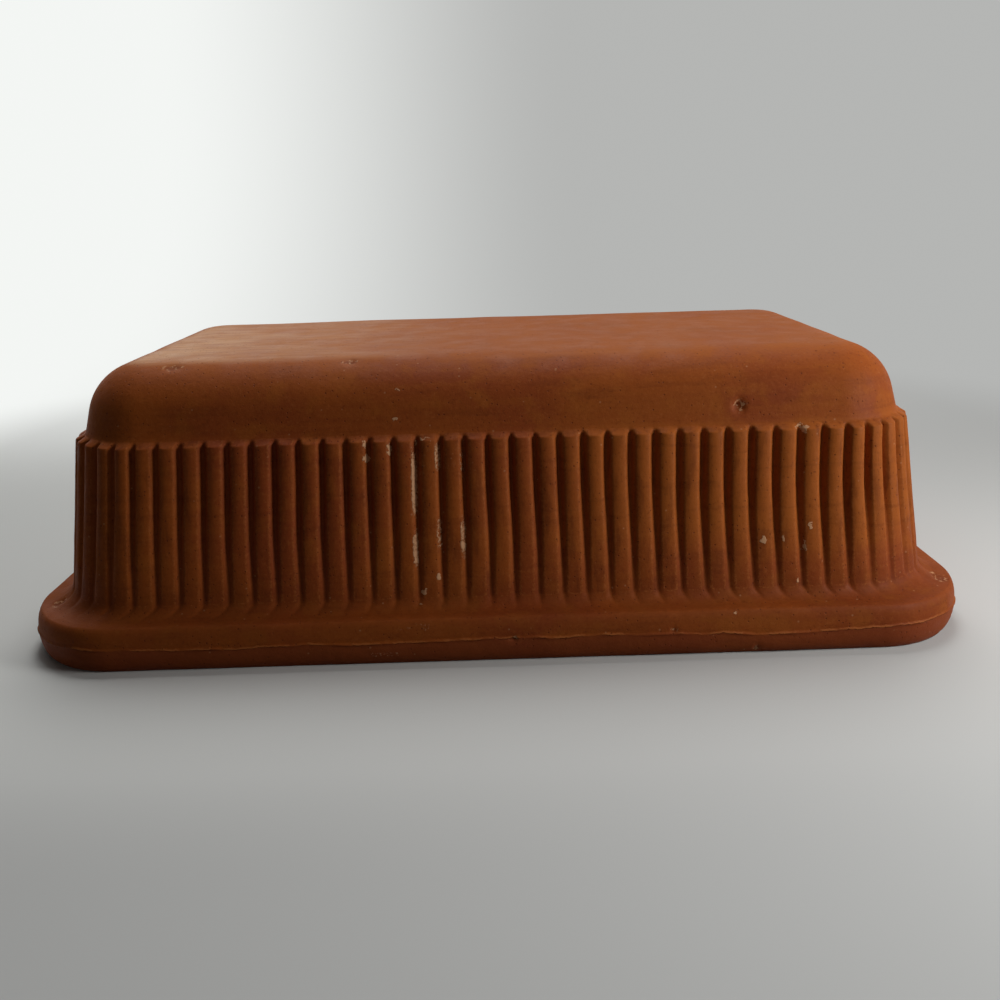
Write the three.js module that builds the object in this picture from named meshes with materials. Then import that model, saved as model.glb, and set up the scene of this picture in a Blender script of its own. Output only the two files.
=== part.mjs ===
// Terracotta loaf pan, standing mouth down on its rim: one moulding of unglazed fired clay.
// Millimetres, +Z up, X along the loaf. The origin is the middle of the plane that the rim rests on.
//
// The whole pan is one profile carried round a rounded rectangle. The profile starts in the middle of
// the cavity's floor, runs down the inside, across the rim, up the reeded outside and over the
// shoulder, and ends in the middle of the base.

import * as THREE from 'three';

// Driving dimensions: overall
const LENGTH = 270;
const WIDTH = 153;
const HEIGHT = 79.5;

// Driving dimensions: rim, a flange with a rounded edge that is widest at the mould's parting line
const RIM_THICKNESS = 13;
const RIM_CORNER_RADIUS = 29;
const RIM_OVERHANG = 8.5;
const PARTING_HEIGHT = 7;
const RIM_LOWER_ROUND = 2;
const RIM_UPPER_ROUND = 2.5;
const FLANGE_FILLET = 4;

// Driving dimensions: outer wall
const WALL_DRAFT_DEGREES = 8.4;
const WALL_FOOT_CORNER_RADIUS = 27.5;
const WALL_TOP_CORNER_RADIUS = 24.5;

// Driving dimensions: reeds, each a crowned face between two flanks that meet the next in a groove
const REED_PITCH = 6.52;
const REED_FACE = 2.9;
const REED_CROWN = 0.15;
const REED_EDGE = 0.35;
const REED_DEPTH = 2.3;
const REED_FOOT_DEPTH = 0.55;
const REED_OFFSET = 1.75;
const REED_RUN_OUT = 28;

// Driving dimensions: ledge at the top of the reeds, which slopes to the foot of the shoulder
const LEDGE_WIDTH = 2.85;
const LEDGE_RISE = 1.1;
const LEDGE_ROUND = 0.8;

// Driving dimensions: plain shoulder between the reeds and the base
const SHOULDER_HEIGHT = 18.9;
const SHOULDER_LEAN_DEGREES = 16;
const SHOULDER_RADIUS = 17.5;

// Driving dimensions: cavity
const WALL_THICKNESS = 7.5;
const FLOOR_THICKNESS = 9;
const FLOOR_FILLET = 14;
const MOUTH_ROUND = 3;

// No corner in plan is sharper than this
const SHARPEST_CORNER = 1.5;

// Facets: steps of a plain ring's corners and sides, and of the profile's arcs
const CORNER_STEPS = 8;
const LONG_STEPS = 4;
const SHORT_STEPS = 2;
const FLOOR_FILLET_STEPS = 6;
const MOUTH_STEPS = 3;
const RIM_STEPS = 4;
const FLANGE_FILLET_STEPS = 3;
const SHOULDER_STEPS = 7;

const { degToRad, lerp } = THREE.MathUtils;
const QUARTER_TURN = Math.PI / 2;

// Lines that the profile follows
const draft = degToRad(WALL_DRAFT_DEGREES);
const lean = degToRad(SHOULDER_LEAN_DEGREES);
const wallFoot = RIM_THICKNESS + FLANGE_FILLET * (1 - Math.sin(draft));
const reedTop = HEIGHT - SHOULDER_HEIGHT - LEDGE_RISE;
const runOutTop = wallFoot + REED_RUN_OUT;

/** How far the line of the reeds' crests lies inside the rim's edge at a height. */
function crestInset(z) {
  return RIM_OVERHANG + (z - wallFoot) * Math.tan(draft);
}

/** Corner radius in plan on that line. Above the reeds the corners stay concentric. */
function crestRadius(z) {
  const climbed = (z - wallFoot) / (reedTop - wallFoot);
  return lerp(WALL_FOOT_CORNER_RADIUS, WALL_TOP_CORNER_RADIUS, Math.min(climbed, 1));
}

// A quarter of the outline halfway up the reeds, from the middle of a long side to the middle of an
// end, as shares of its length. Every ring keeps these shares, so the reeds stand upright along the
// sides and fan out only where a corner widens.
const middleHeight = (wallFoot + reedTop) / 2;
const middleInset = crestInset(middleHeight);
const middleRadius = crestRadius(middleHeight);
const longRun = LENGTH / 2 - middleInset - middleRadius;
const cornerRun = middleRadius * QUARTER_TURN;
const shortRun = WIDTH / 2 - middleInset - middleRadius;
const quarterRun = longRun + cornerRun + shortRun;
const longShare = longRun / quarterRun;
const cornerShare = cornerRun / quarterRun;
const shortShare = shortRun / quarterRun;
const reedCount = Math.round((4 * quarterRun) / REED_PITCH);

/**
 * A point of a rounded rectangle that lies `inset` inside the rim's edge. `share` runs from 0 to 1
 * anticlockwise from the middle of the front, the long side at -Y. The outline is worked out in the
 * quarter that starts there and mirrored into the others.
 */
function outlinePoint(inset, cornerRadius, share) {
  const halfX = LENGTH / 2 - inset;
  const halfY = WIDTH / 2 - inset;
  const radius = Math.max(cornerRadius, SHARPEST_CORNER);
  const quarter = Math.floor(share * 4) % 4;
  const along = share * 4 - Math.floor(share * 4);
  const fold = quarter % 2 === 0 ? along : 1 - along;
  const signX = quarter < 2 ? 1 : -1;
  const signY = quarter === 1 || quarter === 2 ? -1 : 1;
  let x = halfX;
  let y = -(halfY - radius) * ((1 - fold) / shortShare);
  if (fold < longShare) {
    x = (halfX - radius) * (fold / longShare);
    y = -halfY;
  } else if (fold < longShare + cornerShare) {
    const turn = ((fold - longShare) / cornerShare) * QUARTER_TURN;
    x = halfX - radius + radius * Math.sin(turn);
    y = -(halfY - radius) - radius * Math.cos(turn);
  }
  return [signX * x, signY * y];
}

/** Shares of a plain ring: few points along the sides and a fan of them round each corner. */
function plainShares() {
  const quarter = [];
  for (let i = 0; i < LONG_STEPS / 2; i++) quarter.push((longShare * i) / (LONG_STEPS / 2));
  for (let i = 0; i < CORNER_STEPS; i++) quarter.push(longShare + (cornerShare * i) / CORNER_STEPS);
  for (let i = 0; i < SHORT_STEPS / 2; i++) {
    quarter.push(longShare + cornerShare + (shortShare * i) / (SHORT_STEPS / 2));
  }
  const shares = [];
  for (const fold of quarter) {
    const mirrored = 1 - fold;
    shares.push(fold / 4, (1 + mirrored) / 4, (2 + fold) / 4, (3 + mirrored) / 4);
  }
  return [...new Set(shares.map((share) => share % 1))].sort((a, b) => a - b);
}

// Places across a reed, in pitches from the groove before it. The edge between the face and each flank is
// blunted by a facet that reaches REED_EDGE to either side of it.
const pitch = (4 * quarterRun) / reedCount;
const flank = (pitch - REED_FACE) / 2;
const flankTop = (flank - REED_EDGE) / pitch;
const faceEdge = (flank + REED_EDGE) / pitch;
const reedPlaces = [0, flankTop, faceEdge, 0.5, 1 - faceEdge, 1 - flankTop];
const firstGroove = REED_OFFSET / pitch - 0.5;

/** Shares of a ring that has a point at each of the places on every reed. */
function reedShares(places) {
  const shares = [];
  for (let reed = 0; reed < reedCount; reed++) {
    for (const place of places) shares.push(((firstGroove + reed + place) / reedCount + 1) % 1);
  }
  return shares.sort((a, b) => a - b);
}

/** Height of a reed's section, as a share of its depth: 0 in the groove and 1 on the middle of the face. */
function reedHeight(share) {
  const pitches = share * reedCount - firstGroove;
  const fromMiddle = Math.abs(pitches - Math.floor(pitches) - 0.5) * pitch;
  const edgeHeight = 1 - REED_CROWN / REED_DEPTH;
  const toFace = fromMiddle / (REED_FACE / 2);
  if (toFace < 1) return lerp(1, edgeHeight, toFace * toFace);
  return (edgeHeight * (pitch / 2 - fromMiddle)) / flank;
}

const plain = plainShares();
const perReed = reedShares(reedPlaces);
const perEdge = reedShares([0, 0.5]);

/** One ring of the skin. `groove` is how deep the grooves between the reeds are cut there. */
function ring(shares, inset, z, cornerRadius, groove = 0) {
  const points = shares.map((share) => {
    const cut = groove * (1 - reedHeight(share));
    const [x, y] = outlinePoint(inset + cut, cornerRadius - cut, share);
    return [x, y, z];
  });
  return { shares, points };
}

/** Angles of an arc, with both ends. */
function arc(from, to, steps) {
  return Array.from({ length: steps + 1 }, (_, i) => lerp(from, to, i / steps));
}

/** Cavity: floor, fillet, drafted wall parallel to the grooves' bottoms, and the rounded mouth. */
function cavityRings() {
  const floor = HEIGHT - FLOOR_THICKNESS;
  const wallInset = (z) => crestInset(z) + REED_DEPTH + WALL_THICKNESS;
  const wallRadius = (z) => crestRadius(z) - REED_DEPTH - WALL_THICKNESS;
  const concentric = (inset, z) => wallRadius(z) - (inset - wallInset(z));
  const filletFoot = floor - FLOOR_FILLET * (1 - Math.sin(draft));
  const filletCentre = wallInset(filletFoot) + FLOOR_FILLET * Math.cos(draft);
  const rings = arc(QUARTER_TURN, draft, FLOOR_FILLET_STEPS).map((turn) => {
    const inset = filletCentre - FLOOR_FILLET * Math.cos(turn);
    const z = floor - FLOOR_FILLET * (1 - Math.sin(turn));
    return ring(plain, inset, z, concentric(inset, filletFoot));
  });
  const mouthFoot = MOUTH_ROUND * (1 - Math.sin(draft));
  const mouthCentre = wallInset(mouthFoot) - MOUTH_ROUND * Math.cos(draft);
  for (const turn of arc(draft, QUARTER_TURN, MOUTH_STEPS)) {
    const inset = mouthCentre + MOUTH_ROUND * Math.cos(turn);
    const z = MOUTH_ROUND * (1 - Math.sin(turn));
    rings.push(ring(plain, inset, z, concentric(inset, mouthFoot)));
  }
  return rings;
}

/** A ring on the fillet between the flange's top and the wall, at a turn up from the flange. */
function filletRing(shares, turn, groove = 0) {
  const start = RIM_OVERHANG - FLANGE_FILLET * Math.cos(draft);
  const inset = start + FLANGE_FILLET * Math.sin(turn);
  const z = RIM_THICKNESS + FLANGE_FILLET * (1 - Math.cos(turn));
  const crossed = (inset - start) / (RIM_OVERHANG - start);
  const radius = lerp(RIM_CORNER_RADIUS - start, WALL_FOOT_CORNER_RADIUS, crossed);
  return ring(shares, inset, z, radius, groove);
}

/** Rim: two quarter ellipses that meet at the parting line, then the flange's top up to its fillet. */
function rimRings() {
  const rings = [];
  const nose = (round, rise, turn) => {
    const inset = round * (1 - Math.cos(turn));
    return ring(plain, inset, PARTING_HEIGHT + rise * Math.sin(turn), RIM_CORNER_RADIUS - inset);
  };
  const lowerTurns = arc(-QUARTER_TURN, 0, RIM_STEPS);
  for (const turn of lowerTurns) rings.push(nose(RIM_LOWER_ROUND, PARTING_HEIGHT, turn));
  const upperRise = RIM_THICKNESS - PARTING_HEIGHT;
  const upperTurns = arc(0, QUARTER_TURN, RIM_STEPS).slice(1);
  for (const turn of upperTurns) rings.push(nose(RIM_UPPER_ROUND, upperRise, turn));
  rings.push(filletRing(plain, 0));
  return rings;
}

/**
 * Reeded wall: the grooves start in the flange's fillet, deepen evenly over the length of their run-out, and
 * end on the ledge, which has a rounded edge and slopes to the foot of the shoulder.
 */
function reedRings() {
  const filletTurns = arc(0, QUARTER_TURN - draft, FLANGE_FILLET_STEPS).slice(1, -1);
  const rings = filletTurns.map((turn, i) => {
    const shares = i === 0 ? perEdge : perReed;
    return filletRing(shares, turn, (REED_FOOT_DEPTH * i) / filletTurns.length);
  });
  const wall = (z, depth) => ring(perReed, crestInset(z), z, crestRadius(z), depth);
  rings.push(wall(wallFoot, REED_FOOT_DEPTH), wall(runOutTop, REED_DEPTH));
  for (const turn of [0, QUARTER_TURN / 2]) {
    const worn = LEDGE_ROUND * (1 - Math.cos(turn));
    const z = reedTop - LEDGE_ROUND * (1 - Math.sin(turn));
    rings.push(ring(perReed, crestInset(z) + worn, z, crestRadius(z) - worn, REED_DEPTH - worn));
  }
  const footInset = crestInset(reedTop) + LEDGE_WIDTH;
  rings.push(ring(perEdge, footInset, reedTop + LEDGE_RISE, WALL_TOP_CORNER_RADIUS - LEDGE_WIDTH));
  return rings;
}

/** Shoulder: a leaning band that turns through one arc into the flat base. */
function shoulderRings() {
  const footInset = crestInset(reedTop) + LEDGE_WIDTH;
  const leanHeight = SHOULDER_HEIGHT - SHOULDER_RADIUS * (1 - Math.sin(lean));
  const arcCentre = footInset + leanHeight * Math.tan(lean) + SHOULDER_RADIUS * Math.cos(lean);
  return arc(lean, QUARTER_TURN, SHOULDER_STEPS).map((turn) => {
    const inset = arcCentre - SHOULDER_RADIUS * Math.cos(turn);
    const z = HEIGHT - SHOULDER_RADIUS * (1 - Math.sin(turn));
    return ring(plain, inset, z, WALL_TOP_CORNER_RADIUS - (inset - crestInset(reedTop)));
  });
}

/** Triangles between two rings, stepping along whichever ring has the nearer next share. */
function joinRings(first, second, index) {
  const a = first.shares;
  const b = second.shares;
  const after = (shares, i) => shares[i % shares.length] + Math.floor(i / shares.length);
  let i = 0;
  let j = 0;
  while (i < a.length || j < b.length) {
    const here = first.start + (i % a.length);
    const there = second.start + (j % b.length);
    if (j >= b.length || (i < a.length && after(a, i + 1) <= after(b, j + 1))) {
      i += 1;
      index.push(here, first.start + (i % a.length), there);
    } else {
      j += 1;
      index.push(here, second.start + (j % b.length), there);
    }
  }
}

/** Closes a flat ring with a fan about its middle. */
function capRing(edge, positions, index, facesUp) {
  const middle = positions.length;
  positions.push([0, 0, edge.points[0][2]]);
  const count = edge.points.length;
  for (let i = 0; i < count; i++) {
    const pair = [edge.start + i, edge.start + ((i + 1) % count)];
    index.push(middle, ...(facesUp ? pair : pair.reverse()));
  }
}

/** The rings in order as one closed skin. */
function skin(rings) {
  const positions = [];
  const index = [];
  for (const edge of rings) {
    edge.start = positions.length;
    positions.push(...edge.points);
  }
  for (let i = 1; i < rings.length; i++) joinRings(rings[i - 1], rings[i], index);
  capRing(rings[0], positions, index, false);
  capRing(rings[rings.length - 1], positions, index, true);
  const geometry = new THREE.BufferGeometry();
  geometry.setAttribute('position', new THREE.Float32BufferAttribute(positions.flat(), 3));
  geometry.setIndex(index);
  geometry.computeVertexNormals();
  return geometry;
}

const terracotta = new THREE.MeshStandardMaterial({ color: 0xa35b36, roughness: 0.85, metalness: 0 });

const body = new THREE.Mesh(
  skin([...cavityRings(), ...rimRings(), ...reedRings(), ...shoulderRings()]),
  terracotta,
);
body.name = 'pan_body';

const pan = new THREE.Group();
pan.name = 'terracotta_loaf_pan';
pan.add(body);

export default pan;
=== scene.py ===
# %% [markdown]
# # A loaf pan in unglazed terracotta
# The pan was moulded from clay, fired without a glaze and used for years. It stands mouth down on its rim,
# so the flat top is the outside of its base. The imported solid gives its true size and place. This lesson
# lays one closed skin over that solid with numpy, gives the skin a fired clay finish, and sets up a small
# studio round it. Shapes are worked out in millimetres, as a potter would measure them, and go into the
# mesh in metres.

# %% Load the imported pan
import math

import bpy
import numpy as np
from mathutils import Matrix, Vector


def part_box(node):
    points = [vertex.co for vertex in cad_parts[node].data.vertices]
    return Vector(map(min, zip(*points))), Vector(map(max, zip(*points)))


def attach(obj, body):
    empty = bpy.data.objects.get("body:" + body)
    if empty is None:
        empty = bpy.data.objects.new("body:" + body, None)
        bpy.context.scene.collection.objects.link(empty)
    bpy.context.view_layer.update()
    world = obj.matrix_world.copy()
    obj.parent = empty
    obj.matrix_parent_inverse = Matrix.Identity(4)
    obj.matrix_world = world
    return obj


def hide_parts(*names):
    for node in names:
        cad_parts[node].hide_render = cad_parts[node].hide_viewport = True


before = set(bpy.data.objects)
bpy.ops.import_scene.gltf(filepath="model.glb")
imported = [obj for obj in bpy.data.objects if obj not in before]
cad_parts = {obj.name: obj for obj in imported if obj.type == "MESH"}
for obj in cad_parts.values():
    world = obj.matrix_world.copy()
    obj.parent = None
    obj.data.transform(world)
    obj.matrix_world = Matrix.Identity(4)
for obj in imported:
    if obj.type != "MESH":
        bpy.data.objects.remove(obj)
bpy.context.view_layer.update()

# %% [markdown]
# ## The sizes of the mould
# The overall length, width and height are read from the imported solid, so the skin can't drift from it. The
# other sizes are those that the mould was cut to: a thick rim flange, a wall that leans in, reeds that
# stand on the wall, and a plain shoulder that turns into the base. They could be measured from the solid's
# mesh too, but named sizes are easier to read and to change.

# %% Sizes in millimetres
METRE = 1000.0
low, high = (np.array(corner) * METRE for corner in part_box("pan_body"))
LENGTH, WIDTH, HEIGHT = high - low

RIM_THICKNESS = 13.0
RIM_CORNER_RADIUS = 29.0
RIM_OVERHANG = 8.5
PARTING_HEIGHT = 7.0
RIM_LOWER_ROUND = 2.0
RIM_UPPER_ROUND = 2.5
FLANGE_FILLET = 4.0

WALL_DRAFT = math.radians(8.4)
WALL_FOOT_CORNER_RADIUS = 27.5
WALL_TOP_CORNER_RADIUS = 24.5
REED_PITCH = 6.52
REED_FACE = 4.2
REED_CROWN = 0.45
REED_DEPTH = 2.3
REED_FOOT_DEPTH = 0.55
REED_OFFSET = 1.75
REED_RUN_OUT = 28.0
LEDGE_WIDTH = 2.85
LEDGE_RISE = 1.1
LEDGE_ROUND = 0.8

SHOULDER_HEIGHT = 18.9
SHOULDER_LEAN = math.radians(16)
SHOULDER_RADIUS = 17.5

WALL_THICKNESS = 7.5
FLOOR_THICKNESS = 9.0
FLOOR_FILLET = 14.0
MOUTH_ROUND = 3.0

WALL_FOOT = RIM_THICKNESS + FLANGE_FILLET * (1 - math.sin(WALL_DRAFT))
REED_TOP = HEIGHT - SHOULDER_HEIGHT - LEDGE_RISE
print(f"pan {LENGTH:.1f} x {WIDTH:.1f} x {HEIGHT:.1f} mm, reeds from {WALL_FOOT:.1f} to {REED_TOP:.1f} mm")

# %% [markdown]
# ## The crests of the reeds
# The wall leans in, so the higher a point on a reed's crest, the further it lies inside the rim's edge, and
# the tighter the corners are in plan. Two functions give both for any height. A tapered box would lean in
# the same way, but a function also serves the cavity, which follows the wall.


# %% Crests at any height
def crest_inset(z):
    """How far the reeds' crests lie inside the rim's edge: the overhang, plus the climb times the draft."""
    return RIM_OVERHANG + (z - WALL_FOOT) * math.tan(WALL_DRAFT)


def crest_radius(z):
    """Corner radius in plan on the crests: it shrinks evenly with height up to the reeds' top."""
    climbed = np.minimum((z - WALL_FOOT) / (REED_TOP - WALL_FOOT), 1)
    return WALL_FOOT_CORNER_RADIUS + (WALL_TOP_CORNER_RADIUS - WALL_FOOT_CORNER_RADIUS) * climbed


print(f"crests lean in from {crest_inset(WALL_FOOT):.1f} to {crest_inset(REED_TOP):.1f} mm inside the rim")

# %% [markdown]
# ## The outline, seen from above
# Every level of the pan is a rounded rectangle. One parameter, the share of the way round, finds a point on
# it: along half a long side, round a quarter circle, along half an end, then mirrored into the other
# quarters. All levels use the same shares, so a reed stays one reed from the flange to the shoulder. A
# curve object with a bevel would give one section only, while a function gives any section as an array.

# %% Rounded rectangle as a function of the share
middle = (WALL_FOOT + REED_TOP) / 2
middle_radius = float(crest_radius(middle))
LONG_RUN = LENGTH / 2 - crest_inset(middle) - middle_radius
CORNER_RUN = middle_radius * math.pi / 2
SHORT_RUN = WIDTH / 2 - crest_inset(middle) - middle_radius
QUARTER_RUN = LONG_RUN + CORNER_RUN + SHORT_RUN
REED_COUNT = round(4 * QUARTER_RUN / REED_PITCH)
SHARPEST_CORNER = 1.5


def outline(inset, radius, share):
    """Point on a rounded rectangle that lies `inset` inside the rim's edge.

    x is the straight half side times how far along it the share has gone, plus the corner radius times the
    sine of the turn so far. y is the same with the half end and the cosine. Whole arrays broadcast.
    """
    radius = np.maximum(radius, SHARPEST_CORNER)
    half_x = LENGTH / 2 - inset - radius
    half_y = WIDTH / 2 - inset - radius
    quarter = np.floor(share * 4) % 4
    along = share * 4 - np.floor(share * 4)
    run = np.where(quarter % 2 == 0, along, 1 - along) * QUARTER_RUN
    turn = np.clip((run - LONG_RUN) / CORNER_RUN, 0, 1) * math.pi / 2
    x = half_x * np.clip(run / LONG_RUN, 0, 1) + radius * np.sin(turn)
    y = half_y * np.clip((QUARTER_RUN - run) / SHORT_RUN, 0, 1) + radius * np.cos(turn)
    return np.where(quarter < 2, x, -x), np.where((quarter == 1) | (quarter == 2), y, -y)


print(f"{REED_COUNT} reeds round {4 * QUARTER_RUN:.0f} mm")

# %% [markdown]
# ## The profile, from the cavity's floor to the base
# A potter's template is a section through the wall. Ours starts on the cavity's floor, runs down the inside
# and across the rim, then up the outside and over the shoulder to the base. Each station of it holds an
# inset from the rim's edge, a height, a corner radius, the depth of the grooves there, and a factor that
# shrinks the outline to the middle on the flat floor and base. Stations lie close where the form turns. A
# Screw modifier can turn such a section round an axis, but only in circles, and this pan has corners.

# %% Stations of the cavity
FLOOR_SHRINK = np.array([0.2, 0.4, 0.6, 0.8, 0.92])
FLOOR_FILLET_STEPS = 10
CAVITY_WALL_STEPS = 12
MOUTH_STEPS = 7
LIP_HEIGHT = MOUTH_ROUND * (1 - math.sin(WALL_DRAFT))


def stations(inset, height, radius, groove=0.0, shrink=1.0):
    """A stretch of the profile as rows of five numbers, each given as one value or as an array."""
    columns = np.broadcast_arrays(*np.atleast_1d(inset, height, radius, groove, shrink))
    return np.stack(columns, axis=1).astype(float)


def cavity_inset(z):
    """The inside wall is parallel to the bottoms of the grooves, one wall thickness further in."""
    return crest_inset(z) + REED_DEPTH + WALL_THICKNESS


def cavity_radius(z):
    """Corner radius of the inside wall, about the same centre as the corner outside."""
    return crest_radius(z) - REED_DEPTH - WALL_THICKNESS


def cavity_stations():
    """Flat floor, an arc into the drafted wall, the wall, and an arc out to the flat of the rim.

    On an arc of radius r the inset is its centre plus or minus r times the cosine of the turn, and the
    height is its level less r times one minus the sine. Corners in plan stay concentric with the wall's.
    """
    floor = HEIGHT - FLOOR_THICKNESS
    foot = floor - FLOOR_FILLET * (1 - math.sin(WALL_DRAFT))
    turn = np.linspace(math.pi / 2, WALL_DRAFT, FLOOR_FILLET_STEPS)
    inset = cavity_inset(foot) + FLOOR_FILLET * (math.cos(WALL_DRAFT) - np.cos(turn))
    plan = cavity_radius(foot) - (inset - cavity_inset(foot))
    fillet = stations(inset, floor - FLOOR_FILLET * (1 - np.sin(turn)), plan)
    flat = stations(inset[0], floor, plan[0], shrink=FLOOR_SHRINK)

    z = np.linspace(foot, LIP_HEIGHT, CAVITY_WALL_STEPS)[1:-1]
    wall = stations(cavity_inset(z), z, cavity_radius(z))
    turn = np.linspace(WALL_DRAFT, math.pi / 2, MOUTH_STEPS)
    inset = cavity_inset(LIP_HEIGHT) + MOUTH_ROUND * (np.cos(turn) - math.cos(WALL_DRAFT))
    plan = cavity_radius(LIP_HEIGHT) - (inset - cavity_inset(LIP_HEIGHT))
    mouth = stations(inset, MOUTH_ROUND * (1 - np.sin(turn)), plan)
    return np.concatenate([flat, fillet, wall, mouth])


print(len(cavity_stations()), "stations in the cavity")

# %% Stations of the rim
UPPER_SET_BACK = 0.2
LINE_FROM, LINE_TO = math.radians(-11), math.radians(18)
LINE_BACK = UPPER_SET_BACK * np.array([0.3, 0.1, 0.0, 0.0, 0.8, 1.1, 1.0])
LINE_RISE = np.array([-0.8, -0.4, -0.15, 0.05, 0.3, 0.65, 1.1])
UNDER_STEPS = 5
RIM_STEPS = 7


def rim_stations():
    """Flat underside, two quarter ellipses that meet at the parting line, the flange's top and its fillet.

    On an ellipse the inset is its width times one minus the cosine of the turn, and the height is the
    parting height plus its rise times the sine. The mould's halves met a little out of line, so the upper
    half is set back. The grooves fade out on the fillet, by the share of its turn.
    """
    mouth_edge = cavity_inset(LIP_HEIGHT) - MOUTH_ROUND * math.cos(WALL_DRAFT)
    inset = np.linspace(mouth_edge, RIM_LOWER_ROUND, UNDER_STEPS)[1:-1]
    under = stations(inset, 0.0, RIM_CORNER_RADIUS - inset)
    turn = np.linspace(-math.pi / 2, LINE_FROM, RIM_STEPS)
    inset = RIM_LOWER_ROUND * (1 - np.cos(turn))
    lower = stations(inset, PARTING_HEIGHT * (1 + np.sin(turn)), RIM_CORNER_RADIUS - inset)
    line = stations(LINE_BACK, PARTING_HEIGHT + LINE_RISE, RIM_CORNER_RADIUS - LINE_BACK)

    turn = np.linspace(LINE_TO, math.pi / 2, RIM_STEPS)
    inset = UPPER_SET_BACK + (RIM_UPPER_ROUND - UPPER_SET_BACK) * (1 - np.cos(turn))
    upper_rise = RIM_THICKNESS - PARTING_HEIGHT
    upper = stations(inset, PARTING_HEIGHT + upper_rise * np.sin(turn), RIM_CORNER_RADIUS - inset)

    start = RIM_OVERHANG - FLANGE_FILLET * math.cos(WALL_DRAFT)
    full_turn = math.pi / 2 - WALL_DRAFT
    turn = np.linspace(0, full_turn, RIM_STEPS)[:-1]
    inset = start + FLANGE_FILLET * np.sin(turn)
    plan = np.interp(inset, [start, RIM_OVERHANG], [RIM_CORNER_RADIUS - start, WALL_FOOT_CORNER_RADIUS])
    groove = REED_FOOT_DEPTH * turn / full_turn
    fillet = stations(inset, RIM_THICKNESS + FLANGE_FILLET * (1 - np.cos(turn)), plan, groove)
    return np.concatenate([under, lower, line, upper, fillet])


print(len(rim_stations()), "stations on the rim")

# %% Stations of the reeds
RUN_OUT_STEPS = 13
FULL_DEPTH_STEPS = 8
EDGE_TURNS = np.radians([0, 25, 48, 68])
LEDGE_SHARES = np.array([0.3, 0.6, 0.85])
GROOVE_END_POWER = 1.5


def reed_stations():
    """The grooves deepen evenly over the run-out, and the reeds end in a ledge with a rounded edge.

    On the edge's round the wear is its radius times one minus the cosine of the turn. It is added to the
    inset and taken off the groove, so that the bottoms of the grooves run straight on up to the ledge.
    From there the ledge slopes to the foot of the shoulder, and the grooves end on the slope.
    """
    climbed = np.linspace(0, 1, RUN_OUT_STEPS)
    z = WALL_FOOT + REED_RUN_OUT * climbed
    depth = REED_FOOT_DEPTH + (REED_DEPTH - REED_FOOT_DEPTH) * climbed
    run_out = stations(crest_inset(z), z, crest_radius(z), depth)
    z = np.linspace(WALL_FOOT + REED_RUN_OUT, REED_TOP - LEDGE_ROUND, FULL_DEPTH_STEPS)[1:-1]
    full = stations(crest_inset(z), z, crest_radius(z), REED_DEPTH)
    worn = LEDGE_ROUND * (1 - np.cos(EDGE_TURNS))
    z = REED_TOP - LEDGE_ROUND * (1 - np.sin(EDGE_TURNS))
    edge = stations(crest_inset(z) + worn, z, crest_radius(z) - worn, REED_DEPTH - worn)
    edge_inset, edge_height, _, edge_groove, _ = edge[-1]
    foot_inset = crest_inset(REED_TOP) + LEDGE_WIDTH
    inset = edge_inset + (foot_inset - edge_inset) * LEDGE_SHARES
    z = edge_height + (REED_TOP + LEDGE_RISE - edge_height) * LEDGE_SHARES
    radius = WALL_TOP_CORNER_RADIUS - (inset - crest_inset(REED_TOP))
    ledge = stations(inset, z, radius, edge_groove * (1 - LEDGE_SHARES) ** GROOVE_END_POWER)
    return np.concatenate([run_out, full, edge, ledge])


print(len(reed_stations()), "stations on the reeds")

# %% Stations of the shoulder and the base
BAND_STEPS = 7
SHOULDER_STEPS = 17
BASE_SHRINK = np.array([0.96, 0.88, 0.75, 0.5, 0.2])


def shoulder_stations():
    """A leaning band, one arc that turns it level, and the flat base shrunk towards its middle."""
    foot = REED_TOP + LEDGE_RISE
    foot_inset = crest_inset(REED_TOP) + LEDGE_WIDTH
    lean_height = SHOULDER_HEIGHT - SHOULDER_RADIUS * (1 - math.sin(SHOULDER_LEAN))
    climb = np.linspace(0, lean_height, BAND_STEPS)[:-1]
    inset = foot_inset + climb * math.tan(SHOULDER_LEAN)
    outer = WALL_TOP_CORNER_RADIUS + crest_inset(REED_TOP)
    band = stations(inset, foot + climb, outer - inset)
    turn = np.linspace(SHOULDER_LEAN, math.pi / 2, SHOULDER_STEPS)
    centre = foot_inset + lean_height * math.tan(SHOULDER_LEAN)
    centre += SHOULDER_RADIUS * math.cos(SHOULDER_LEAN)
    inset = centre - SHOULDER_RADIUS * np.cos(turn)
    arc = stations(inset, HEIGHT - SHOULDER_RADIUS * (1 - np.sin(turn)), outer - inset)
    base = stations(centre, HEIGHT, outer - centre, shrink=BASE_SHRINK)
    return np.concatenate([band, arc, base])


print(len(shoulder_stations()), "stations on the shoulder and the base")

# %% The whole profile
parts = {
    "cavity": cavity_stations(),
    "rim": rim_stations(),
    "reeds": reed_stations(),
    "shoulder": shoulder_stations(),
}
profile = np.concatenate(list(parts.values()))
zone = np.repeat(list(parts), [len(rows) for rows in parts.values()])[:, None]
on_rim = zone == "rim"
on_reeds = zone == "reeds"
on_shoulder = zone == "shoulder"
print(len(profile), "stations in all")

# %% [markdown]
# ## Columns, and the section of a reed
# A reed has a broad, crowned face and two short flanks, and its neighbour's flank makes the groove a V. All
# edges are soft, because the mould was cut in plaster and the clay shrank away from it. Ten columns cross
# each reed, crowded where the section turns. A displacement texture could press reeds into a plain wall, but
# would need far more faces to hold their edges.

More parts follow.
